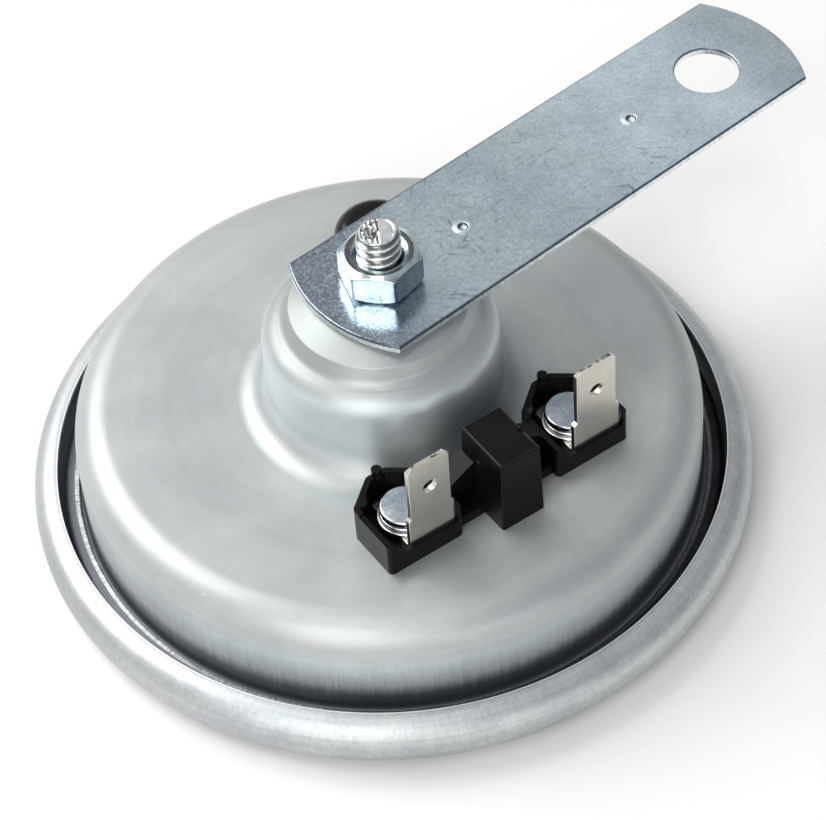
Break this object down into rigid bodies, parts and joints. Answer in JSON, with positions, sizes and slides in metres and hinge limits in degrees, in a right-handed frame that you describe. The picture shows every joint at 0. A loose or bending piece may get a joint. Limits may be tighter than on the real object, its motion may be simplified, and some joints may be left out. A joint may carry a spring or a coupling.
{
  "type": "car horn",
  "caption": "Round disc car horn with a curled front tone disc, drawn steel rear housing, strap bracket on a nutted stud and two blade terminals.",
  "frame": {"origin": "Centre of the tone disc's front face, on the plane the horn rests on", "axes": "+Z along the horn's axis from the front face to the mounting stud, +X along the bracket towards its free end, +Y by the right hand"},
  "size_m": [0.122, 0.1, 0.048],
  "materials": {
    "housing_steel": "satin galvanised sheet",
    "clamp_steel": "galvanised, sheared edge bright",
    "gasket_paper": "pressed fibre",
    "spring_steel": "rolled strip",
    "disc_steel": "satin zinc, radial draw marks at the rim",
    "core_steel": "turned",
    "bright_zinc": "bright zinc",
    "stud_zinc": "bright blue passivated zinc",
    "bobbin_plastic": "moulded",
    "copper_winding": "enamelled copper wire",
    "copper_lead": "enamelled copper wire",
    "contact_metal": "dull tungsten",
    "insulator_board": "laminated board",
    "rivet_steel": "zinc plated",
    "washer_steel": "zinc plated",
    "cap_plastic": "gloss black",
    "block_plastic": "satin charcoal moulding",
    "blade_metal": "tinned brass, warm grey",
    "bracket_zinc": "blue passivated zinc, mottled and scratched"
  },
  "bodies": {
    "housing": {"rear_housing": "housing_steel", "clamp_ring": "clamp_steel", "rear_gasket": "gasket_paper", "front_gasket": "gasket_paper", "fixed_core": "stud_zinc", "coil_bobbin": "bobbin_plastic", "coil_winding": "copper_winding", "contact_bracket": "bright_zinc", "contact_arm": "spring_steel", "fixed_contact": "contact_metal", "moving_contact": "contact_metal", "contact_insulator_upper": "insulator_board", "contact_insulator_middle": "insulator_board", "contact_insulator_lower": "insulator_board", "contact_rivets": "rivet_steel", "adjusting_screw": "bright_zinc", "adjuster_cap": "cap_plastic", "terminal_block": "block_plastic", "terminal_blade_near": "blade_metal", "terminal_blade_far": "blade_metal", "terminal_rivets": "rivet_steel", "terminal_washers_lower": "washer_steel", "terminal_washers_upper": "washer_steel", "inner_insulators": "insulator_board", "lead_coil_terminal": "copper_lead", "lead_coil_contact": "copper_lead", "lead_contact_terminal": "copper_lead", "mounting_bracket": "bracket_zinc", "mounting_nut": "stud_zinc"},
    "armature": {"armature": "core_steel", "tone_disc": "disc_steel", "spindle_nut": "bright_zinc", "front_washer": "bright_zinc", "disc_spacer": "bright_zinc", "diaphragm_washer": "bright_zinc", "diaphragm": "spring_steel"}
  },
  "joints": [
    {"name": "armature_travel", "type": "slide", "parent": "housing", "child": "armature", "axis": [0, 0, 1], "range_m": [-0.0003, 0.0003], "stiffness_N_per_m": 20000, "deforming": ["diaphragm"]}
  ]
}
